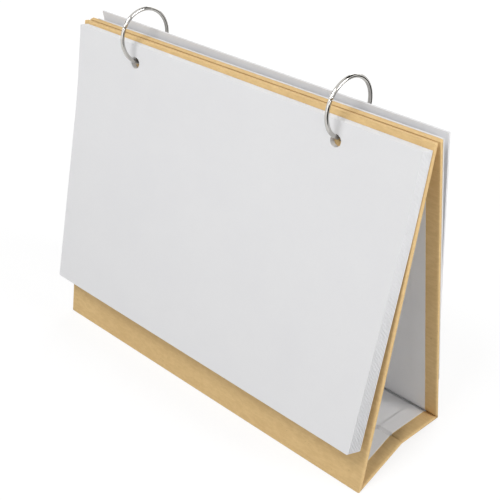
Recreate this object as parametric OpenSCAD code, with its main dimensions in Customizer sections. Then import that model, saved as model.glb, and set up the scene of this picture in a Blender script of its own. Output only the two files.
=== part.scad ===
/* [Stand] */
// Width of the stand, along its folds
stand_w = 210; // [190:1:250]
// Height of each tall panel, measured up its slope
panel_h = 171; // [160:1:200]
// Distance between the outer faces of the tall panels where they stand
foot_span = 67.8; // [60:0.2:78]
// Rise of the fold in the middle of the base
base_rise = 6.3; // [4:0.1:10]
// Width of the flat strip on which each bottom fold stands
foot_flat = 1.8; // [1:0.1:3]
// Slit left between the two tall panels at the top
seam_gap = 1; // [0.4:0.1:1.4]

/* [Board and paper] */
// Thickness of the greyboard
board_t = 1.8; // [1.4:0.1:2.4]
// Thickness of the kraft covering paper
kraft_t = 0.3; // [0.2:0.05:0.4]
// Thickness of the lining paper
lining_t = 0.25; // [0.15:0.05:0.4]
// Width of kraft turned in over the board edges
turn_in = 14; // [11:0.5:20]
// Width of turned-in kraft that the lining leaves bare
bare_edge = 6.6; // [4:0.2:10]
// Gap between the ends of the two base boards, at the middle fold
mid_gap = 1.6; // [1.2:0.1:3]
// Height of the tall boards' lower ends above the table
board_lift = 4.6; // [4:0.1:6]
// Distance from the foot strip to the end of each base board
base_setback = 3.6; // [3:0.1:5]
// Room between the two layers of kraft where it is pressed down into the folds
crease_room = 0.4; // [0.3:0.05:0.6]
// Clearance between the end of a board and the kraft that dips beside it
board_fit = 0.2; // [0.1:0.05:0.3]

/* [Rings] */
// Diameter of each ring, measured on the middle of its wire
ring_d = 26.4; // [25:0.1:30]
// Thickness of the ring wire
wire_d = 1.9; // [1.6:0.1:2.2]
// Distance between the two rings
ring_pitch = 123; // [100:1:150]
// Distance that the ring centres lie in front of the seam
ring_forward = 0.9; // [0:0.1:1.2]
// Turn of the left ring about the vertical, in degrees
left_swivel = -6; // [-6:0.5:0]
// Turn of the right ring about the vertical, in degrees
right_swivel = -5; // [-6:0.5:0]
// Shift of each ring to the right of the middle of the leaf holes
ring_shift = 0.55; // [0.4:0.05:0.6]
// Place of the ring hinge round the ring, in degrees from level at the rear
hinge_angle = -26; // [-28:1:-20]
// Place of the ring clasp round the ring, in degrees from level at the rear
clasp_angle = 142; // [135:1:150]
// Radius of the flat eyes at the ring hinge
eye_r = 1.4; // [1.2:0.05:1.5]
// Thickness of each flat eye
eye_t = 1; // [0.9:0.05:1.1]
// Room between the hinge rivet and the eye that turns on it
pin_fit = 0.05; // [0.02:0.01:0.09]
// Diameter of the hinge rivet
rivet_d = 0.9; // [0.7:0.05:1]
// Radius of the rivet heads
rivet_head_r = 0.85; // [0.7:0.05:1]
// Thickness of the rivet heads
rivet_head_t = 0.3; // [0.2:0.05:0.4]
// Gap between parts that slide or rest on each other
run_gap = 0.3; // [0.2:0.05:0.4]
// Room between the wire and the upper edge of the lower one of the front leaves' holes
thread_gap = 0.35; // [0.25:0.05:0.5]
// Gap between the two halves of a ring where they lie side by side
lap_gap = 0.12; // [0.08:0.02:0.2]
// Length of the overlap at the ring clasp
clasp_len = 3.2; // [2.5:0.1:4]

/* [Leaves] */
// How much narrower than the stand a leaf is, on each side
leaf_margin = 2; // [1:0.5:8]
// Height of a leaf
leaf_h = 142.6; // [130:0.2:150]
// Thickness of a leaf
leaf_t = 0.35; // [0.25:0.05:0.4]
// Number of leaves in front
front_count = 8; // [4:1:9]
// Number of turned leaves that lie against the rear panel
near_count = 2; // [1:1:3]
// Number of turned leaves that stand away from the rear panel
far_count = 3; // [1:1:3]
// Diameter of the leaf holes
leaf_hole_d = 5.5; // [5.3:0.1:6]
// Distance from a leaf's top edge to the middle of its holes
leaf_hole_drop = 8.8; // [8.6:0.1:10]
// Radius of the two lower corners of a leaf
leaf_corner_r = 1; // [0.5:0.5:8]
// Distance that the rearmost front leaf's lower edge hangs off the panel
back_splay = 4.5; // [2:0.1:6]
// Further distance that the front leaves fan out at their lower edge
front_splay = 2.7; // [1:0.1:4]
// Turn of the front leaves in their own plane, right side down, in degrees
front_turn = 0.4; // [0:0.1:0.4]
// Turn of the far rear leaves about their left hole, right side down, in degrees
far_turn = 0.5; // [0:0.1:0.5]
// Drop from each front leaf's top edge to that of the leaf before it
front_step = 0.1; // [0.05:0.01:0.14]
// Sideways slip of each front leaf against the one behind it
front_slip = 0.36; // [0:0.02:0.4]
// Distance that the rearmost front leaf lies to the right of the middle
front_shift = 1.4; // [0:0.1:1.6]
// Distance that the rear leaves lie to the right of the middle
rear_shift = 1.5; // [0.4:0.1:1.8]
// Distance that the rear leaves' holes lie to the right of the middle of the panel holes
rear_hole_shift = 1.3; // [0.9:0.1:1.5]
// Height of the near rear leaves above the rear panel's top
near_lift = -0.3; // [-0.5:0.1:0]
// Height of the far rear leaves above the rear panel's top
far_lift = 1.9; // [1.5:0.1:2]
// Distance between near and far rear leaves at their tops
far_open = 3.2; // [2.8:0.1:3.6]
// Diameter of the ring holes in the tall panels
panel_hole_d = 6; // [5.6:0.1:6.6]
// Distance from a tall panel's top edge to the middle of its ring holes
panel_hole_drop = 9.5; // [9:0.1:11]

/* [Hidden] */
$fn = 48;

// Depths through a panel, from its outer face
inner_face = kraft_t + board_t;
panel_t = inner_face + kraft_t;
half_span = foot_span / 2;
leaf_w = stand_w - 2 * leaf_margin;

// Lean of the tall panels, so that their inner faces meet at the seam
seam_depth = panel_t + seam_gap / 2;
lean = asin(half_span / sqrt(panel_h ^ 2 + seam_depth ^ 2)) - atan(seam_depth / panel_h);
seam_z = panel_h * cos(lean) - panel_t * sin(lean);

// Slope and length of each half of the base
base_start = foot_flat - half_span;
base_tilt = atan(base_rise / -base_start);
base_len = sqrt(base_rise ^ 2 + base_start ^ 2);

// A point on the front panel: s up its slope, d in from its outer face
function on_panel(s, d) = [s * sin(lean) + d * cos(lean) - half_span, s * cos(lean) - d * sin(lean)];
// A point on the front half of the base: s along it, d up from its underside
function on_base(s, d) =
    [base_start + s * cos(base_tilt) - d * sin(base_tilt), s * sin(base_tilt) + d * cos(base_tilt)];
// The fold line in the middle of the base, at depth d
function on_fold(d) = [0, base_rise + d / cos(base_tilt)];

function back(path) = [for (i = [len(path) - 1:-1:0]) path[i]];
// Front half of a section line, its middle points if any, and the mirrored rear half
function whole(half, middle = []) = concat(half, middle, [for (p = back(half)) [-p.x, p.y]]);

// Section line at depth d from the outer face, up to s on the tall panels
function under_line(s, d) = whole([
    on_panel(s, d),
    [d / cos(lean) + d * tan(lean) - half_span, d],
    [base_start - d * tan(base_tilt / 2), d]
], [on_fold(d)]);

// How far along the base the lines at depth d through panel and base meet
function corner_run(d) = (d * (1 + sin(base_tilt + lean)) - foot_flat * cos(lean)) / cos(base_tilt + lean);

// Section line at height h over the boards. At each fold it dips between them, to the height
// low over the room above the outer sheet.
function over_line(s, h, low) =
    let (fold = kraft_t + crease_room + low)
    whole([
        on_panel(s, inner_face + h),
        on_panel(board_lift - board_fit, inner_face + h),
        on_base(corner_run(fold), fold),
        on_base(base_setback - board_fit, inner_face + h),
        on_base(base_len - mid_gap / 2, inner_face + h)
    ], [on_fold(fold)]);

// Section of all that lies inside that line, with ends square to the tall panels
spare = 0.5;
function inside(s, h, low) =
    concat(over_line(s, h, low), [for (x = [-1, 1]) [x * on_panel(s, panel_t + spare).x, on_panel(s, panel_t + spare).y]]);

module prism(width, section)
    translate([-width / 2, 0, 0]) rotate([90, 0, 90]) linear_extrude(width) polygon(section);

// Places its children on the front panel or, mirrored, on the rear one:
// y goes in from the outer face and z up the slope
module on_front() translate([0, -half_span, 0]) rotate([-lean, 0, 0]) children();
module on_rear() mirror([0, 1, 0]) on_front() children();

// Both ring holes through a tall panel
module panel_bores()
    for (side = [-1, 1])
        translate([side * ring_pitch / 2, -1, panel_h - panel_hole_drop])
            rotate([-90, 0, 0]) cylinder(d = panel_hole_d, h = panel_t + 2);

// The kraft wraps the boards: one sheet under them all, with its edges turned in over them
module kraft_cover() color([0.8, 0.68, 0.49]) at_home() difference() {
    prism(stand_w, concat(under_line(panel_h, 0), [on_panel(panel_h, seam_depth)]));
    // Room for the boards
    prism(stand_w - 2 * kraft_t,
        concat(under_line(panel_h - kraft_t, kraft_t), back(over_line(panel_h - kraft_t, 0, 0))));
    // Where the turned-in edges stop
    prism(stand_w - 2 * turn_in, inside(panel_h - turn_in, -board_t / 2, -crease_room / 2));
    // The open inside of the stand
    prism(stand_w + 2, over_line(panel_h + seam_gap, kraft_t, kraft_t));
    on_front() panel_bores();
    on_rear() panel_bores();
}

module tall_board() difference() {
    translate([kraft_t - stand_w / 2, kraft_t, board_lift])
        cube([stand_w - 2 * kraft_t, board_t, panel_h - kraft_t - board_lift]);
    panel_bores();
}

module base_board()
    translate([0, base_start, 0]) rotate([base_tilt, 0, 0])
        translate([kraft_t - stand_w / 2, base_setback, kraft_t])
            cube([stand_w - 2 * kraft_t, base_len - mid_gap / 2 - base_setback, board_t]);

module front_board() color([0.55, 0.53, 0.5]) at_home() on_front() tall_board();
module rear_board() color([0.55, 0.53, 0.5]) at_home() on_rear() tall_board();
module base_front_board() color([0.55, 0.53, 0.5]) at_home() base_board();
module base_rear_board() color([0.55, 0.53, 0.5]) at_home() mirror([0, 1, 0]) base_board();

// The lining lies on the boards and, at its edges, on the turned-in kraft
module lining_paper() color([0.86, 0.86, 0.86]) at_home() difference() {
    inner_w = stand_w - 2 * turn_in;
    outer_w = stand_w - 2 * bare_edge;
    inner_top = panel_h - turn_in;
    outer_top = panel_h - bare_edge;
    union() {
        prism(inner_w, inside(inner_top, 0, 0));
        prism(outer_w, inside(outer_top, kraft_t, kraft_t));
    }
    prism(inner_w - 2 * lining_t, inside(inner_top - lining_t, lining_t, lining_t));
    lined = kraft_t + lining_t;
    prism(outer_w + 2, over_line(outer_top + 1, lined, lined));
    on_front() panel_bores();
    on_rear() panel_bores();
}

// Ring centres, with the wire resting on the lower edge of the panel holes
ring_r = ring_d / 2;
wire_r = wire_d / 2;
hole_mid = on_panel(panel_h - panel_hole_drop, panel_t / 2);
ring_y = -ring_forward;
hole_reach = hole_mid.x - ring_y;
ring_z = hole_mid.y - panel_hole_d / 2 + wire_r + run_gap + sqrt(ring_r ^ 2 - hole_reach ^ 2);

// Leaves are drawn with y out from the panel's outer face and z down from its top edge
module front_page_frame()
    translate([0, on_panel(panel_h, 0).x, on_panel(panel_h, 0).y]) rotate([-lean, 0, 0])
        mirror([0, 1, 0]) mirror([0, 0, 1]) children();
module rear_page_frame() mirror([0, 1, 0]) front_page_frame() children();

// Share of a leaf's lean reached at the share u of its height: flat at first, then bending
// softly, then straight
flat_share = 0.13;
soft_share = 0.22;
bend_rows = 3;
function lean_rise(u) =
    u < flat_share ? 0
    : u < flat_share + soft_share ? (u - flat_share) ^ 2 / (2 * soft_share)
    : u - flat_share - soft_share / 2;
function lean_share(u) = lean_rise(u) / lean_rise(1);
bend_steps = [for (i = [0:bend_rows]) flat_share + soft_share * i / bend_rows];

// One leaf, from z = top down, with y = foot where it lies flat.
// It leans out by out_low at its lower edge, or by out_top at its upper edge.
leaf_spare = 2;
module leaf(top, foot, shift, out_low, out_top) {
    steps = out_top > 0 ? [for (i = [bend_rows:-1:0]) 1 - bend_steps[i]] : bend_steps;
    spare = leaf_spare / leaf_h;
    side = [for (u = concat([-spare], steps, [1 + spare]))
        [foot + out_low * lean_share(u) + out_top * lean_share(1 - u), top + u * leaf_h]];
    face = [for (p = side) [p.x + leaf_t, p.y]];
    intersection() {
        translate([shift - leaf_w / 2 - 1, 0, 0]) rotate([90, 0, 90])
            linear_extrude(leaf_w + 2) polygon(concat(side, back(face)));
        translate([shift, -1, top]) rotate([-90, 0, 0]) mirror([0, 1, 0])
            linear_extrude(2 + foot + leaf_t + out_low + out_top) leaf_outline();
    }
}

module leaf_outline() {
    translate([-leaf_w / 2, 0]) square([leaf_w, leaf_h - leaf_corner_r]);
    translate([leaf_corner_r - leaf_w / 2, 0]) square([leaf_w - 2 * leaf_corner_r, leaf_h]);
    for (side = [-1, 1])
        translate([side * (leaf_w / 2 - leaf_corner_r), leaf_h - leaf_corner_r])
            circle(r = leaf_corner_r);
}

// Turns its children in the plane of the leaves, about a point at a sideways shift and a drop
module turned(angle, shift, drop)
    translate([shift, 0, drop]) rotate([0, -angle, 0]) translate([-shift, 0, -drop]) children();

module leaf_bores(shift, drop, from, length)
    for (side = [-1, 1])
        translate([shift + side * ring_pitch / 2, from, drop])
            rotate([-90, 0, 0]) cylinder(d = leaf_hole_d, h = length);

// The front leaves hang on the wire by the upper edge of their holes.
// Distances across and along the leaves are measured from the front panel's top edge.
front_stack = front_count * leaf_t;
front_mid = run_gap + front_stack / 2;
ring_across = (on_panel(panel_h, 0).x - ring_y) * cos(lean) + (ring_z - on_panel(panel_h, 0).y) * sin(lean);
ring_along = (on_panel(panel_h, 0).x - ring_y) * sin(lean) + (on_panel(panel_h, 0).y - ring_z) * cos(lean);
front_across = front_mid - ring_across;
wire_skew = asin(front_across / ring_r);
front_hang = leaf_hole_d / 2 - wire_r - thread_gap - front_stack / 2 * tan(wire_skew)
    - ring_pitch / 2 * sin(front_turn);
front_drop = ring_along + sqrt((ring_r + front_hang) ^ 2 - front_across ^ 2);

// The whole stands with its outline centred over the origin: the foremost leaf's lower
// edge reaches furthest forward, and the rear foot furthest back
foremost = on_panel(panel_h - front_drop - (leaf_h - leaf_hole_drop) * cos(front_turn)
    - (leaf_w / 2 + front_shift - (front_count - 1) * front_slip) * sin(front_turn),
    -run_gap - front_stack - back_splay - front_splay);
module at_home() translate([0, -(foremost.x + half_span) / 2, 0]) children();

module front_leaves() color([0.93, 0.93, 0.93]) at_home() {
    top = front_drop - leaf_hole_drop - (front_count - 1) * front_step;
    front_page_frame() turned(front_turn, 0, front_drop) difference() {
        union() for (k = [0:front_count - 1])
            leaf(top + k * front_step, run_gap + k * leaf_t, front_shift - k * front_slip,
                back_splay + front_splay * k / (front_count - 1), 0);
        leaf_bores(0, front_drop, 0, run_gap + front_stack + back_splay);
    }
}

module turned_leaves() color([0.93, 0.93, 0.93]) at_home() rear_page_frame() {
    near_drop = leaf_hole_drop - near_lift;
    far_drop = leaf_hole_drop - far_lift;
    near_end = run_gap + near_count * leaf_t;
    union() {
        difference() {
            union() for (k = [0:near_count - 1]) leaf(-near_lift, run_gap + k * leaf_t, rear_shift, 0, 0);
            leaf_bores(rear_hole_shift, near_drop, 0, near_end);
        }
        turned(far_turn, rear_hole_shift - ring_pitch / 2, far_drop) difference() {
            union() for (k = [0:far_count - 1])
                leaf(-far_lift + k * front_step, near_end + k * leaf_t, rear_shift, 0, far_open);
            leaf_bores(rear_hole_shift, far_drop, near_end, far_open + far_count * leaf_t);
        }
    }
}

// Ring pieces are drawn in a plane with x to the rear, y up and z along the stand
module ring_frame(side)
    translate([side * ring_pitch / 2 + ring_shift, ring_y, ring_z])
        rotate([0, 0, side < 0 ? left_swivel : right_swivel]) rotate([90, 0, 90]) children();

// Angles round the ring, in degrees, for lengths along its wire
function turn_for(length) = length / ring_r * 180 / PI;
eye_turn = turn_for(eye_r + run_gap);
lap_turn = turn_for(clasp_len / 2);
end_turn = turn_for(run_gap);
hinge_end = 360 + hinge_angle;

module wire(from, to) rotate([0, 0, from]) rotate_extrude(angle = to - from)
    translate([ring_r, 0]) circle(d = wire_d);

// Takes away a little over half of the wire's thickness, on the side given by the sign
module lap_cut(from, to, sign) rotate([0, 0, from]) rotate_extrude(angle = to - from)
    translate([ring_r, sign * (wire_d - lap_gap) / 2]) square([2 * wire_d, wire_d], center = true);

module hinge_place() rotate([0, 0, hinge_angle]) translate([ring_r, 0, 0]) children();
module eye(sign) hinge_place() translate([0, 0, sign * (lap_gap + eye_t) / 2])
    cylinder(r = eye_r, h = eye_t, center = true);
module rivet_bore(fit) hinge_place() cylinder(d = rivet_d + 2 * fit, h = 2 * wire_d, center = true);

module ring_lower_half(side) color("silver") at_home() ring_frame(side) difference() {
    union() {
        difference() {
            wire(clasp_angle - lap_turn, hinge_end);
            lap_cut(clasp_angle - 2 * lap_turn, clasp_angle + lap_turn + end_turn, 1);
            lap_cut(hinge_end - eye_turn, hinge_end + eye_turn, 1);
        }
        eye(-1);
    }
    rivet_bore(0);
}

module ring_upper_half(side) color("silver") at_home() ring_frame(side) difference() {
    union() {
        difference() {
            wire(hinge_angle, clasp_angle + lap_turn);
            lap_cut(hinge_angle - eye_turn, hinge_angle + eye_turn, -1);
            lap_cut(clasp_angle - lap_turn - end_turn, clasp_angle + 2 * lap_turn, -1);
        }
        eye(1);
    }
    rivet_bore(pin_fit);
}

module ring_rivet(side) color("gray") at_home() ring_frame(side) hinge_place() {
    cylinder(d = rivet_d, h = lap_gap + 2 * eye_t, center = true);
    for (sign = [-1, 1]) translate([0, 0, sign * (lap_gap / 2 + eye_t + rivet_head_t / 2)])
        cylinder(r = rivet_head_r, h = rivet_head_t, center = true);
}

kraft_cover();
front_board();
base_front_board();
base_rear_board();
rear_board();
lining_paper();
front_leaves();
turned_leaves();
ring_lower_half(-1);  // left_ring_lower_half
ring_upper_half(-1);  // left_ring_upper_half
ring_rivet(-1);  // left_ring_rivet
ring_lower_half(1);  // right_ring_lower_half
ring_upper_half(1);  // right_ring_upper_half
ring_rivet(1);  // right_ring_rivet
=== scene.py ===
# %% [markdown]
# # A desk calendar on an easel stand
# The stand is grey board wrapped in kraft paper and folded into a triangle. Blank leaves hang on
# two hinged metal rings.

# %% Load the measured solids
import math
import bmesh
import bpy
from mathutils import Matrix, Vector


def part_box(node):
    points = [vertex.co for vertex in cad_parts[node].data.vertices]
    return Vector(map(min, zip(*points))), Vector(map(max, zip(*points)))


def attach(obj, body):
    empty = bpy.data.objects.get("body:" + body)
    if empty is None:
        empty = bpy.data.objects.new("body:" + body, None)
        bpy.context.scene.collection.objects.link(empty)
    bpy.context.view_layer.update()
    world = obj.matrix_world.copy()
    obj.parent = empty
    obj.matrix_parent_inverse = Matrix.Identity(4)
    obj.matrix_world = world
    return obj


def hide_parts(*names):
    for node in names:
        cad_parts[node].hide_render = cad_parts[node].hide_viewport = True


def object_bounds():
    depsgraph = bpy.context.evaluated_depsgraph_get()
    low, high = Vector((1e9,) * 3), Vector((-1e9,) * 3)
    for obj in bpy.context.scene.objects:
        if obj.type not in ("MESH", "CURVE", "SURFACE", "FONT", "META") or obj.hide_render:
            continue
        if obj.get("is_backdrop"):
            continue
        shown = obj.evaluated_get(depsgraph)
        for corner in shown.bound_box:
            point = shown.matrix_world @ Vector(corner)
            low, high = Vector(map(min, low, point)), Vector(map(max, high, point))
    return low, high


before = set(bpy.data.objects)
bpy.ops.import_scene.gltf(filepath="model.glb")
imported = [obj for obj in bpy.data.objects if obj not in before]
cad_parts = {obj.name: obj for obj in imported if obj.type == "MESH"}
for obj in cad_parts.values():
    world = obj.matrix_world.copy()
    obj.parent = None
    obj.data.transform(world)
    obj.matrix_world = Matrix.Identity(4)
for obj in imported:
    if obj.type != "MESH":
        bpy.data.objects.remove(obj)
cad_low, cad_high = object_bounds()
MM = 0.001
print("solids:", len(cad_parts), "box:", [round(v / MM, 1) for v in (*cad_low, *cad_high)])

# %% [markdown]
# ## Where things are
# Each tall panel leans against the other, so most pieces are easiest to draw flat, as if the
# panel stood upright: x along the stand, y in from the panel's outer face, z up its slope. One
# matrix then leans the drawing into place. The rear panel uses the same matrix, mirrored.

# %% Panel frames
stand_w = 210 * MM
panel_h = 171 * MM
panel_t = 2.4 * MM
foot_span = 67.8 * MM
seam_gap = 1 * MM
centre_y = (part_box("kraft_cover")[0].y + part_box("kraft_cover")[1].y) / 2

half_span = foot_span / 2
seam_depth = panel_t + seam_gap / 2
lean = math.asin(half_span / math.hypot(panel_h, seam_depth)) - math.atan(seam_depth / panel_h)
front_frame = Matrix.Translation((0, centre_y - half_span, 0)) @ Matrix.Rotation(-lean, 4, "X")
rear_frame = Matrix.Translation((0, centre_y, 0)) @ Matrix.Scale(-1, 4, (0, 1, 0)) \
    @ Matrix.Translation((0, -half_span, 0)) @ Matrix.Rotation(-lean, 4, "X")
print("lean of the panels:", round(math.degrees(lean), 2), "degrees")

# %% [markdown]
# ## Small tools
# The same few steps come back for the camera, the lamps, the cards and every piece: adding an
# object, aiming it, closing a bmesh, cutting it and rounding it.

# %% Small tools
def add_object(name, data):
    made = bpy.data.objects.new(name, data)
    bpy.context.scene.collection.objects.link(made)
    return made


def direction(turn, rise):
    """Away from the stand. turn is measured from the front towards the right, rise from level."""
    turn, rise = math.radians(turn), math.radians(rise)
    return Vector((math.sin(turn) * math.cos(rise), -math.cos(turn) * math.cos(rise), math.sin(rise)))


def aimed(place, back):
    """The matrix of something at a place that looks the opposite way from back."""
    return Matrix.Translation(place) @ back.to_track_quat("Z", "Y").to_matrix().to_4x4()


def mesh_from(bm, name):
    data = bpy.data.meshes.new(name)
    bm.to_mesh(data)
    bm.free()
    return data


def transform(bm, matrix):
    bmesh.ops.transform(bm, matrix=matrix, verts=bm.verts[:])


def cut(bm, place, normal):
    """Adds the edges where a plane crosses the mesh, and takes nothing away."""
    bmesh.ops.bisect_plane(bm, geom=bm.verts[:] + bm.edges[:] + bm.faces[:], plane_co=place,
                           plane_no=normal)


def round_off(bm, geom, offset, segments, affect="EDGES"):
    bmesh.ops.bevel(bm, geom=geom, offset=offset, offset_type="OFFSET", segments=segments,
                    profile=0.5, affect=affect, clamp_overlap=True, material=-1)


print("the front faces", [round(v, 2) for v in direction(0, 0)])

# %% [markdown]
# ## Camera
# The lens and the place of the camera were worked out from the corners of the stand, so the
# render can be laid over the photograph. A long lens from a little under half a metre keeps the
# edges nearly parallel. Colours are shown as they are, with no film curve.

# %% Camera
view_back = direction(42.28, 33.435)
view_target = Vector((6.53, 0, 74.98)) * MM + Vector((0, centre_y, 0))
view_distance, view_roll = 453.33 * MM, math.radians(-0.12)
camera_data = bpy.data.cameras.new("camera")
camera_data.sensor_width = 36
camera_data.lens = 65.216
camera_data.clip_start = 0.01
camera = add_object("camera", camera_data)
camera.matrix_world = aimed(view_target + view_back * view_distance, view_back) \
    @ Matrix.Rotation(view_roll, 4, "Z")
bpy.context.scene.camera = camera
bpy.context.scene.view_settings.view_transform = "Standard"
print("camera at", [round(v, 3) for v in camera.matrix_world.translation])

# %% [markdown]
# ## Shader maths
# Procedural paper is mostly arithmetic on noise. This small class wraps a socket, so that masks
# are written as sums and products, and every expression adds its Math nodes by itself.

# %% Shader maths
class Socket:
    def __init__(self, tree, socket):
        self.tree, self.socket = tree, socket

    def maths(self, operation, first, second):
        return node(self.tree, "ShaderNodeMath", {"operation": operation}, {0: first, 1: second})

    def __add__(self, other): return self.maths("ADD", self, other)
    def __mul__(self, other): return self.maths("MULTIPLY", self, other)


def feed(tree, target, inputs):
    """Gives a node's sockets their values or links."""
    for name, value in inputs.items():
        if isinstance(value, Socket):
            tree.links.new(value.socket, target.inputs[name])
        else:
            target.inputs[name].default_value = value


def node(tree, kind, settings=None, inputs=None, output=0):
    """Adds a node, sets it up first, then feeds its sockets."""
    made = tree.nodes.new(kind)
    for name, value in (settings or {}).items():
        setattr(made, name, value)
    feed(tree, made, inputs or {})
    return Socket(tree, made.outputs[output])


def rgb(red, green, blue):
    """A colour as the eye reads it, 0 to 255, turned into the light values that shaders use."""
    shares = (red / 255, green / 255, blue / 255)
    return tuple(c / 12.92 if c <= 0.04045 else ((c + 0.055) / 1.055) ** 2.4 for c in shares) + (1,)


def mix(tree, factor, a, b):
    """Mixes two colours. Sockets 6 and 7 are the colour ones, and output 2 is the colour."""
    return node(tree, "ShaderNodeMix", {"data_type": "RGBA"}, {0: factor, 6: a, 7: b}, output=2)


def ramp(tree, value, low, high):
    """A soft threshold between two stops, each a place and the grey it gives."""
    made = node(tree, "ShaderNodeValToRGB", {}, {0: value})
    for element, (place, grey) in zip(made.socket.node.color_ramp.elements, (low, high)):
        element.position = place
        element.color = (grey, grey, grey, 1)
    return made


def noise(tree, place, scale, detail=3, rough=0.6, stretch=(1, 1, 1)):
    """Noise whose grain is given in marks per metre, stretched along an axis if asked."""
    where = node(tree, "ShaderNodeMapping", {}, {"Vector": place, "Scale": stretch})
    return node(tree, "ShaderNodeTexNoise", {},
                {"Vector": where, "Scale": scale, "Detail": detail, "Roughness": rough})


def finish_material(name):
    """A new material with its Principled shader, and the surface's own coordinates."""
    made = bpy.data.materials.new(name)
    made.use_nodes = True
    tree = made.node_tree
    place = node(tree, "ShaderNodeTexCoord", output="Object")
    return made, tree, tree.nodes["Principled BSDF"], place


paper_shine = 0.3
print("middle grey is", round(rgb(128, 128, 128)[0], 3), "as a light value")

# %% [markdown]
# ## Kraft paper
# Kraft is unbleached: warm brown, with long fibres lying along the roll, a few darker specks of
# bark, and a broad, faint cloudiness. Its surface has a tooth but no gloss. Noises at different
# scales make it, and the finest ones also lift the surface.

# %% Kraft paper
kraft, tree, shader, place = finish_material("kraft_paper")
cloud = noise(tree, place, 22)
mottle = noise(tree, place, 260)
fibre = noise(tree, place, 650, detail=4, rough=0.65, stretch=(0.35, 1, 1))
speck = noise(tree, place, 900, detail=2, rough=0.5)
tone = mix(tree, ramp(tree, cloud, (0.3, 0), (0.7, 1)), rgb(226, 193, 138), rgb(231, 199, 144))
tone = mix(tree, ramp(tree, mottle, (0.4, 0.2), (0.62, 0)), tone, rgb(214, 179, 125))
tone = mix(tree, ramp(tree, fibre, (0.42, 0.35), (0.6, 0)), tone, rgb(207, 172, 118))
tone = mix(tree, ramp(tree, speck, (0.69, 0), (0.77, 0.45)), tone, rgb(168, 132, 86))
bump = node(tree, "ShaderNodeBump", {},
            {"Strength": 0.35, "Distance": 0.1 * MM, "Height": fibre + speck * 0.5})
feed(tree, shader, {"Base Color": tone, "Roughness": fibre * 0.16 + 0.7,
                    "Specular IOR Level": paper_shine, "Normal": bump})
print("kraft nodes:", len(tree.nodes))

# %% [markdown]
# ## The other papers and the board
# The leaves are smooth white card, the stand's lining is a plainer grey-white paper, and the board
# inside is pressed from waste paper. All three are the same recipe: a base tone, a slightly darker
# one in soft clouds, and a tooth that also lifts the surface. Only the colours and the scale differ.

# %% Other papers and board
def plain_paper(name, base, shade, grain, lift):
    made, tree, shader, place = finish_material(name)
    cloud = noise(tree, place, 30)
    tooth = noise(tree, place, grain, detail=4)
    tone = mix(tree, ramp(tree, cloud, (0.3, 0), (0.7, 0.6)), base, shade)
    tone = mix(tree, ramp(tree, tooth, (0.5, 0), (0.75, 0.35)), tone, shade)
    bump = node(tree, "ShaderNodeBump", {},
                {"Strength": lift, "Distance": 0.08 * MM, "Height": tooth})
    feed(tree, shader, {"Base Color": tone, "Roughness": tooth * 0.12 + 0.56,
                        "Specular IOR Level": paper_shine, "Normal": bump})
    print(name, "nodes:", len(tree.nodes))
    return made


leaf_paper = plain_paper("leaf_paper", rgb(234, 234, 235), rgb(230, 230, 232), 700, 0.2)
lining = plain_paper("lining_paper", rgb(240, 240, 241), rgb(234, 234, 235), 600, 0.2)
greyboard = plain_paper("greyboard", rgb(122, 114, 104), rgb(92, 86, 80), 500, 0.6)

# %% [markdown]
# ## Bright metal
# The rings are steel wire with a bright plating. A metal shows little of its own colour: what is
# seen is the room, so it needs a low roughness that varies a little, where fingers have smudged it.

# %% Bright metal
metal, tree, shader, place = finish_material("ring_metal")
smudge = noise(tree, place, 160)
plating = mix(tree, smudge, rgb(180, 177, 172), rgb(202, 200, 196))
feed(tree, shader, {"Base Color": plating, "Metallic": 1, "Roughness": smudge * 0.08 + 0.03})
print("metal nodes:", len(tree.nodes))

# %% [markdown]
# ## Finishes on the solids
# Solids whose shape is right as it is, such as the lining and the boards, keep their own mesh and
# only get a finish. The others get it too, in case one of them is looked at by itself.

# %% Finishes on the solids
finish_words = {"kraft": kraft, "lining": lining, "leaves": leaf_paper, "ring": metal,
                "board": greyboard}
for name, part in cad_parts.items():
    part.data.materials.clear()
    part.data.materials.append(next(finish for word, finish in finish_words.items() if word in name))
print("finished", len(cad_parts), "solids")

# %% [markdown]
# ## Turning a bmesh into a piece
# Every piece ends in the same way: normals checked, shaded smooth with the sharp edges kept
# sharp, given its finish, and tied to the body that carries it.

# %% Making a piece
paper_sharp, wire_sharp = math.radians(35), math.radians(50)


def make_piece(bm, name, body, material, stands_for=(), keep_sharp=paper_sharp):
    bmesh.ops.recalc_face_normals(bm, faces=bm.faces[:])
    data = mesh_from(bm, name)
    data.shade_smooth()
    data.set_sharp_from_angle(angle=keep_sharp)
    data.materials.append(material)
    made = add_object(name, data)
    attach(made, body)
    if stands_for:
        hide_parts(*stands_for)
    print(name, "has", len(data.polygons), "faces")


print("edges stay sharp above", [round(math.degrees(a)) for a in (paper_sharp, wire_sharp)], "degrees")

# %% [markdown]
# ## The kraft cover
# Paper folded round a board never shows a knife edge: it turns over the edge in a small curve.
# The solid's own mesh already has the folds, the turned-in strips and the ring holes, so a merged
# copy of it is taken. Beyond the lining, which ends 98.4 mm from the middle, the crease in the
# middle of the base is pinched narrower, as a pressed fold is. The long edges at the ridge and at
# the feet are bevelled. The creases are too narrow for a bevel at the open ends, so there the mesh
# is cut into thin slices, and each slice is squeezed a little flatter than the one before it,
# which rounds the whole end.

# %% Kraft cover: the long edges
foot_flat = 1.8 * MM
base_rise, foot_out = 6.3 * MM, half_span - foot_flat
base_tilt = math.atan2(base_rise, foot_out)
pinch_from, pinch_cuts = 98.5 * MM, (98.45 * MM, 98.6 * MM)
crease_reach, crease_squeeze = 1.4 * MM, 0.44
crease_low, crease_high = 6.9 * MM, 8.64 * MM
ridge_low = 168 * MM
fold_round, fold_angle = 0.4 * MM, math.radians(60)
hair = 0.01 * MM

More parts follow.
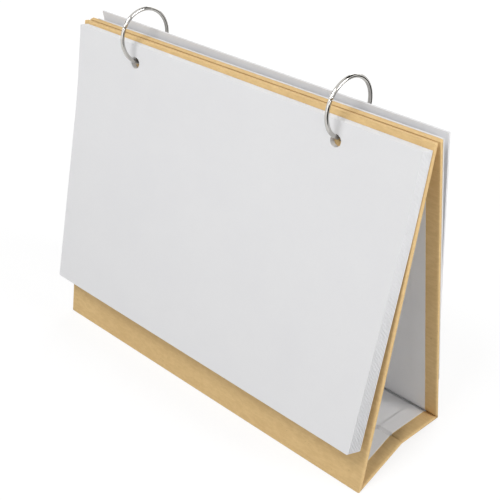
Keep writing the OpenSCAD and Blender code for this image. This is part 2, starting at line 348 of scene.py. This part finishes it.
bm = bmesh.new()
bm.from_mesh(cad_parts["kraft_cover"].data)
bmesh.ops.remove_doubles(bm, verts=bm.verts[:], dist=hair)
bmesh.ops.dissolve_limit(bm, angle_limit=math.radians(1), verts=bm.verts[:], edges=bm.edges[:])
for side in (-1, 1):
    for at in pinch_cuts:
        cut(bm, (side * at, 0, 0), (1, 0, 0))
for v in bm.verts:
    from_middle = v.co.y - centre_y
    if abs(v.co.x) > pinch_from and abs(from_middle) < crease_reach and 7 * MM < v.co.z < 9 * MM:
        v.co.z = crease_low if abs(from_middle) < 0.1 * MM else crease_high
        v.co.y = centre_y + from_middle * crease_squeeze


def long_fold(e):
    """Part of a sharp edge that runs the whole length of the stand."""
    a, b = (v.co for v in e.verts)
    along = abs(a.y - b.y) < hair / 10 and abs(a.z - b.z) < hair / 10 and abs(a.x - b.x) > 1 * MM
    return along and e.calc_face_angle(0) > fold_angle


ridge_edges = [e for e in bm.edges if long_fold(e) and min(v.co.z for v in e.verts) > ridge_low]
foot_edges = [e for e in bm.edges if long_fold(e) and max(v.co.z for v in e.verts) < hair]
round_off(bm, ridge_edges + foot_edges, fold_round, 4)
print("rounded", len(ridge_edges), "edges at the ridge and", len(foot_edges), "at the feet")

# %% Kraft cover: the open ends
end_round = 1 * MM
for side in (-1, 1):
    for depth in (0.04, 0.12, 0.25, 0.42, 0.65, 1):
        cut(bm, (side * (stand_w / 2 - depth * end_round), 0, 0), (1, 0, 0))
bmesh.ops.triangulate(bm, faces=[f for f in bm.faces if abs(f.normal.x) > 0.99])
for v in bm.verts:
    inward = stand_w / 2 - abs(v.co.x)
    if inward > end_round:
        continue
    pull = end_round - math.sqrt(end_round ** 2 - (end_round - max(inward, 0)) ** 2)
    out = 1 if v.co.y > centre_y else -1
    side_y = abs(v.co.y - centre_y)
    depth = (half_span - side_y) * math.cos(lean) - v.co.z * math.sin(lean)
    height = (half_span - side_y) * math.sin(lean) + v.co.z * math.cos(lean)
    over_base = (v.co.z - base_rise * (1 - side_y / foot_out)) * math.cos(base_tilt)
    if -hair < depth < panel_t + hair:
        move = pull * (1 - 2 * depth / panel_t)
        v.co += Vector((0, -out * math.cos(lean), -math.sin(lean))) * move
        if height > panel_h - pull:
            v.co -= Vector((0, -out * math.sin(lean), math.cos(lean))) * (height - panel_h + pull)
    if -hair < over_base < panel_t + hair:
        move = pull * (1 - 2 * over_base / panel_t)
        tilt = out * base_tilt if side_y > hair else 0
        v.co += Vector((0, math.sin(tilt), math.cos(tilt))) * move
make_piece(bm, "kraft_wrap", "stand", kraft, ["kraft_cover"])

# %% [markdown]
# ## The leaves
# A leaf is card about a third of a millimetre thick, punched twice, with its lower corners barely
# rounded. It is drawn flat: an outline with its corners bevelled, two circles for the holes, and a
# fill between them. Cutting it into rows lets it bend, and solidify gives it its thickness.

# %% Leaf helpers
leaf_w, leaf_h, leaf_t = 206 * MM, 142.6 * MM, 0.35 * MM
leaf_hole_r, leaf_hole_drop, leaf_corner_r = 2.75 * MM, 8.8 * MM, 1 * MM
hole_ease = 0.02 * MM
leaf_rows, leaf_columns = 24, 12
ring_pitch = 123 * MM
run_gap = 0.3 * MM


def flat_leaf(hole_shift, hole_drop):
    """A flat leaf in the x-z plane, with its top edge at z = 0, its holes punched and its rows cut."""
    bm = bmesh.new()
    bmesh.ops.create_grid(bm, x_segments=1, y_segments=1, size=0.5)
    transform(bm, Matrix.Diagonal((leaf_w, leaf_h, 1, 1)))
    round_off(bm, [v for v in bm.verts if v.co.y < 0], leaf_corner_r, 6, "VERTICES")
    bmesh.ops.delete(bm, geom=bm.faces[:], context="FACES_ONLY")
    for side in (-1, 1):
        hole = Matrix.Translation((side * ring_pitch / 2 + hole_shift, leaf_h / 2 - hole_drop, 0))
        bmesh.ops.create_circle(bm, cap_ends=False, segments=48, radius=leaf_hole_r + hole_ease,
                                matrix=hole)
    bmesh.ops.triangle_fill(bm, use_beauty=True, use_dissolve=False, edges=bm.edges[:])
    transform(bm, Matrix.Rotation(math.pi / 2, 4, "X") @ Matrix.Translation((0, -leaf_h / 2, 0)))
    for i in range(1, leaf_rows):
        cut(bm, (0, 0, -leaf_h * i / leaf_rows), (0, 0, 1))
    for i in range(1, leaf_columns):
        cut(bm, (leaf_w * (i / leaf_columns - 0.5), 0, 0), (1, 0, 0))
    return bm


def bend_share(u, flat=0.13, soft=0.22):
    """Share of a leaf's lean reached at the share u of its height: none while it lies flat, then
    a soft bend, then straight."""
    def rise(t):
        if t < flat:
            return 0
        return (t - flat) ** 2 / (2 * soft) if t < flat + soft else t - flat - soft / 2
    return rise(u) / rise(1)


def hang_leaf(name, drop, shift, hole_shift, hole_drop, outward, placing, body, stands_for=()):
    """Hangs one leaf with its top edge at a drop below the panel's, bent outwards as the rule says.
    The holes' places are given in the stand's own frame, because the rings don't move with a leaf."""
    bm = flat_leaf(hole_shift - shift, hole_drop - drop)
    for v in bm.verts:
        v.co.y = -outward(-v.co.z / leaf_h)
    bmesh.ops.recalc_face_normals(bm, faces=bm.faces[:])
    if sum(f.normal.y * f.calc_area() for f in bm.faces) > 0:
        bmesh.ops.reverse_faces(bm, faces=bm.faces[:])
    bmesh.ops.solidify(bm, geom=bm.faces[:], thickness=-leaf_t)
    transform(bm, placing @ Matrix.Translation((shift, 0, panel_h - drop)))
    make_piece(bm, name, body, leaf_paper, stands_for)


def turned(angle, about_x, about_drop):
    """A small turn in the panel's plane, right side down, about a point at a drop below its top."""
    pivot = Matrix.Translation((about_x, 0, panel_h - about_drop))
    return pivot @ Matrix.Rotation(math.radians(angle), 4, "Y") @ pivot.inverted()


print("a leaf is", round(leaf_w / MM), "by", round(leaf_h / MM, 1), "mm")

# %% [markdown]
# ## The leaves in front
# Eight leaves hang in front and fan out a little towards the bottom. Each is slipped sideways by
# a third of a millimetre, which is what shows the thin dark lines along the stack's right side.

# %% Front leaves
front_count, back_splay, front_splay = 8, 4.5 * MM, 2.7 * MM
front_step, front_slip, front_shift = 0.1 * MM, 0.36 * MM, 1.4 * MM
front_drop = 11.4747 * MM
front_turn = 0.4
first_top = front_drop - leaf_hole_drop - (front_count - 1) * front_step
front_placing = front_frame @ turned(front_turn, 0, front_drop)
for k in range(front_count):
    def outward(u, k=k):
        splay = back_splay + front_splay * k / (front_count - 1)
        return run_gap + k * leaf_t + splay * bend_share(u)
    hang_leaf(f"front_leaf_{k + 1}", first_top + k * front_step, front_shift - k * front_slip, 0,
              front_drop, outward, front_placing, "front_leaves", ["front_leaves"] if k == 0 else [])
print(front_count, "leaves in front")

# %% [markdown]
# ## The leaves turned over
# Five leaves have been turned to the rear. Two lie on the panel and three stand a little away from
# it at the top, where they hang on the rings. These are turned a touch, as they really settle.

# %% Turned leaves
near_count, near_lift = 2, -0.3 * MM
far_count, far_lift, far_open, far_turn = 3, 1.9 * MM, 3.2 * MM, 0.5
rear_shift, rear_hole_shift = 1.5 * MM, 1.3 * MM
far_drop = leaf_hole_drop - far_lift
far_placing = rear_frame @ turned(far_turn, rear_hole_shift - ring_pitch / 2, far_drop)
for k in range(near_count + far_count):
    far = k - near_count
    def outward(u, k=k, far=far):
        return run_gap + k * leaf_t + (far_open * bend_share(1 - u) if far >= 0 else 0)
    top, hole_drop, placing = (-near_lift, leaf_hole_drop - near_lift, rear_frame) if far < 0 \
        else (-far_lift + far * front_step, far_drop, far_placing)
    hang_leaf(f"turned_leaf_{k + 1}", top, rear_shift, rear_hole_shift, hole_drop, outward,
              placing, "stand", ["turned_leaves"] if k == 0 else [])
print(near_count + far_count, "leaves at the rear")

# %% [markdown]
# ## The rings
# Each ring is two arcs of bright wire. They are pinned together at the back and lap over each
# other at the front, where both are flattened to half their thickness. An arc is a circle spun
# round the ring's centre; the lapped stretches are pressed flat afterwards.

# %% Ring helpers
ring_r, wire_r = 13.2 * MM, 0.95 * MM
hinge_turn, clasp_turn = math.radians(-26), math.radians(142)
eye_r, eye_t, lap_gap = 1.4 * MM, 1 * MM, 0.12 * MM
rivet_r, rivet_head_r, rivet_head_t = 0.45 * MM, 0.85 * MM, 0.3 * MM
lip_high, lip_wide = 0.3 * MM, 0.45 * MM
eye_turn, lap_turn, end_turn, lip_turn = (length * MM / ring_r for length in (1.7, 1.6, 0.3, 0.5))
ring_shift = 0.55 * MM
ring_centre = Vector((0, centre_y - 0.9 * MM, 169.809 * MM))
steps_a_radian = 40


def ring_frame(side, swivel):
    """The ring's own plane: x to the rear, y up and z along the stand."""
    return Matrix.Translation(ring_centre + Vector((side * ring_pitch / 2 + ring_shift, 0, 0))) \
        @ Matrix.Rotation(math.radians(swivel), 4, "Z") @ Matrix.Rotation(math.pi / 2, 4, "Z") \
        @ Matrix.Rotation(math.pi / 2, 4, "X")


def wire_arc(start, end, flat, side, lip):
    """Wire from one angle to another. flat lists the angle ranges pressed to half on the given side,
    and lip is the angle of the small ridge that catches on the other half."""
    bm = bmesh.new()
    across = Matrix.Translation((ring_r, 0, 0)) @ Matrix.Rotation(math.pi / 2, 4, "X")
    bmesh.ops.create_circle(bm, cap_ends=True, segments=24, radius=wire_r, matrix=across)
    bmesh.ops.rotate(bm, cent=(0, 0, 0), matrix=Matrix.Rotation(start, 3, "Z"), verts=bm.verts[:])
    bmesh.ops.spin(bm, geom=bm.faces[:], cent=(0, 0, 0), axis=(0, 0, 1), angle=end - start,
                   steps=int((end - start) * steps_a_radian), use_duplicate=False)
    bmesh.ops.remove_doubles(bm, verts=bm.verts[:], dist=0.001 * MM)
    for v in bm.verts:
        turn = math.atan2(v.co.y, v.co.x)
        for low, high in flat:
            for lap in (turn, turn + 2 * math.pi):
                if low - 0.001 < lap < high + 0.001 and v.co.z * side > -lap_gap / 2:
                    v.co.z = -side * lap_gap / 2
        reach = math.hypot(v.co.x, v.co.y)
        away = abs((turn - lip + math.pi) % (2 * math.pi) - math.pi) * ring_r
        if reach > ring_r:
            ridge = lip_high * math.exp(-(away / lip_wide) ** 2)
            v.co += Vector((v.co.x, v.co.y, 0)) / reach * ridge
    return bm


def disc(bm, radius, thick, middle):
    """A flat round plate at the ring's hinge, its rims rounded."""
    place = Matrix.Rotation(hinge_turn, 4, "Z") @ Matrix.Translation((ring_r, 0, middle))
    made = bmesh.ops.create_cone(bm, cap_ends=True, cap_tris=False, segments=32, radius1=radius,
                                 radius2=radius, depth=thick, matrix=place)
    edges = {e for v in made["verts"] for e in v.link_edges}
    round_off(bm, [e for e in edges if e.calc_face_angle(0) > 1], thick * 0.2, 2)


print("a ring is", round(2 * (ring_r - wire_r) / MM, 1), "mm inside")

# %% Rings
hinge_end = 2 * math.pi + hinge_turn
lower_end, upper_end = clasp_turn - lap_turn, clasp_turn + lap_turn
lower_flat = [(lower_end - lap_turn, upper_end + end_turn), (hinge_end - eye_turn, hinge_end)]
upper_flat = [(hinge_turn, hinge_turn + eye_turn), (lower_end - end_turn, upper_end + lap_turn)]
for side, swivel, word in ((-1, -6, "left"), (1, -5, "right")):
    lower = wire_arc(lower_end, hinge_end, lower_flat, 1, lower_end + lip_turn)
    disc(lower, eye_r, eye_t, -(lap_gap + eye_t) / 2)
    upper = wire_arc(hinge_turn, upper_end, upper_flat, -1, upper_end - lip_turn)
    disc(upper, eye_r, eye_t, (lap_gap + eye_t) / 2)
    rivet = bmesh.new()
    disc(rivet, rivet_r, lap_gap + 2 * eye_t, 0)
    for head in (-1, 1):
        disc(rivet, rivet_head_r, rivet_head_t, head * (lap_gap / 2 + eye_t + rivet_head_t / 2))
    for bm, half, body, slot in ((lower, "lower_half", "stand", "ring_steel"),
                                 (upper, "upper_half", f"{word}_ring_upper_half", "ring_steel"),
                                 (rivet, "rivet", "stand", "rivet_steel")):
        transform(bm, ring_frame(side, swivel))
        make_piece(bm, f"{word}_wire_{half}", body, metal, [f"{word}_ring_{half}"], wire_sharp)

# %% [markdown]
# ## Lamps
# Plain studio light from seven soft lamps. One hangs high in front and lights the leaves from
# above. A stronger one stands at the right and a little to the rear, where it lights the cut end
# of the stand. The rest are weak fills, and one behind keeps the rear from going dim.

# %% Lamps
lamps = (("over", (0.02, -0.5, 0.88), 0.12, 0.35, 3.8),
         ("right", (0.95, 0.3, 0.45), 0.08, 0.45, 5.0),
         ("right_front", (0.8, -0.6, 0.5), 0.08, 0.5, 1.2),
         ("front", (-0.35, -1.0, 0.55), 0.08, 0.7, 0.6),
         ("rear", (-0.25, 0.95, 0.6), 0.08, 0.7, 3.0),
         ("front_low", (0.1, -1.1, 0.25), 0.08, 0.6, 1.0),
         ("left", (-0.9, -0.5, 0.6), 0.08, 0.6, 1.0))
for word, place, aim_height, size, power in lamps:
    data = bpy.data.lights.new(f"lamp_{word}", "AREA")
    data.shape = "DISK"
    data.size = size
    data.energy = power
    made = add_object(f"lamp_{word}", data)
    made.matrix_world = aimed(place, Vector(place) - Vector((0, 0, aim_height)))
print(len(lamps), "lamps,", round(sum(power for *_, power in lamps), 1), "watts in all")

# %% [markdown]
# ## Black cards for the metal
# Bright wire in an all white room looks like white plastic. Photographers stand black cards just out
# of view, so that the metal has something dark to show. These do the same: they are stage pieces,
# and only reflections see them, so they cast no shadow and take no light from the paper.

# %% Black cards
black, tree, shader = finish_material("black_card")[:3]
feed(tree, shader, {"Base Color": (0.01, 0.01, 0.01, 1), "Specular IOR Level": 0})
right_ring = Vector((0.06, centre_y, 0.172))
for word, turn, rise, away, wide, high in (("right", 92, -26, 0.24, 0.6, 0.24),
                                           ("high", 158, 50, 0.4, 0.4, 0.3)):
    back = direction(turn, rise)
    bm = bmesh.new()
    bmesh.ops.create_grid(bm, x_segments=1, y_segments=1, size=0.5)
    transform(bm, aimed(right_ring + back * away, back) @ Matrix.Diagonal((wide, high, 1, 1)))
    data = mesh_from(bm, f"card_{word}")
    data.materials.append(black)
    made = add_object(f"card_{word}", data)
    for rays in ("camera", "diffuse", "transmission", "shadow"):
        setattr(made, f"visible_{rays}", False)
    made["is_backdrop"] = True
print("two black cards, seen by reflections only")

# %% [markdown]
# ## Surround
# An even white surround lights the object softly. The camera and the reflections see a surround of
# strength 1, which is white, and the rest get less, so that the paper keeps its shading.

# %% Surround
def split_rays(tree, others, seen, output):
    """Shows one shader to the camera's, glossy and transmitted rays, and another to the rest."""
    path = tree.nodes.new("ShaderNodeLightPath")
    camera_ray, glossy_ray, through_ray = (Socket(tree, path.outputs[f"Is {kind} Ray"])
                                           for kind in ("Camera", "Glossy", "Transmission"))
    both = node(tree, "ShaderNodeMixShader", {},
                {0: camera_ray + glossy_ray + through_ray, 1: others, 2: seen})
    feed(tree, tree.nodes.new(output), {"Surface": both})


world = bpy.data.worlds.new("surround")
bpy.context.scene.world = world
world.use_nodes = True
sky = world.node_tree
sky.nodes.clear()
ambient, backdrop = (node(sky, "ShaderNodeBackground", {}, {"Color": (1, 1, 1, 1), "Strength": level})
                     for level in (0.3, 1.0))
split_rays(sky, ambient, backdrop, "ShaderNodeOutputWorld")
print("surround nodes:", len(sky.nodes))

# %% [markdown]
# ## Floor
# The floor is pale, and its added glow is for the camera and the reflections only. The glow rises
# away from the stand, so that the floor meets the white surround without a horizon.

# %% Floor
floor_reach = 8
bm = bmesh.new()
bmesh.ops.create_grid(bm, x_segments=1, y_segments=1, size=floor_reach)
floor = add_object("floor", mesh_from(bm, "floor"))
floor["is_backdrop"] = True
pale = bpy.data.materials.new("pale_floor")
pale.use_nodes = True
tree = pale.node_tree
tree.nodes.clear()
plain = node(tree, "ShaderNodeBsdfDiffuse", {}, {"Color": (0.55, 0.55, 0.55, 1)})
dim = node(tree, "ShaderNodeBsdfDiffuse", {}, {"Color": (0.25, 0.25, 0.25, 1)})
spot = node(tree, "ShaderNodeTexCoord", output="Object")
away = node(tree, "ShaderNodeVectorMath", {"operation": "LENGTH"}, {0: spot}, output="Value")
glow = node(tree, "ShaderNodeEmission", {},
            {"Color": ramp(tree, away, (0.25, 0.79), (0.95, 0.93)), "Strength": 1})
lit = node(tree, "ShaderNodeAddShader", {}, {0: dim, 1: glow})
split_rays(tree, plain, lit, "ShaderNodeOutputMaterial")
floor.data.materials.append(pale)
print("floor nodes:", len(tree.nodes))

# %% Sizes, and the end
size = {"cad": [list(cad_low), list(cad_high)], "visual": [list(v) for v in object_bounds()]}
print("visual box:", [round(v / MM, 1) for corner in size["visual"] for v in corner])
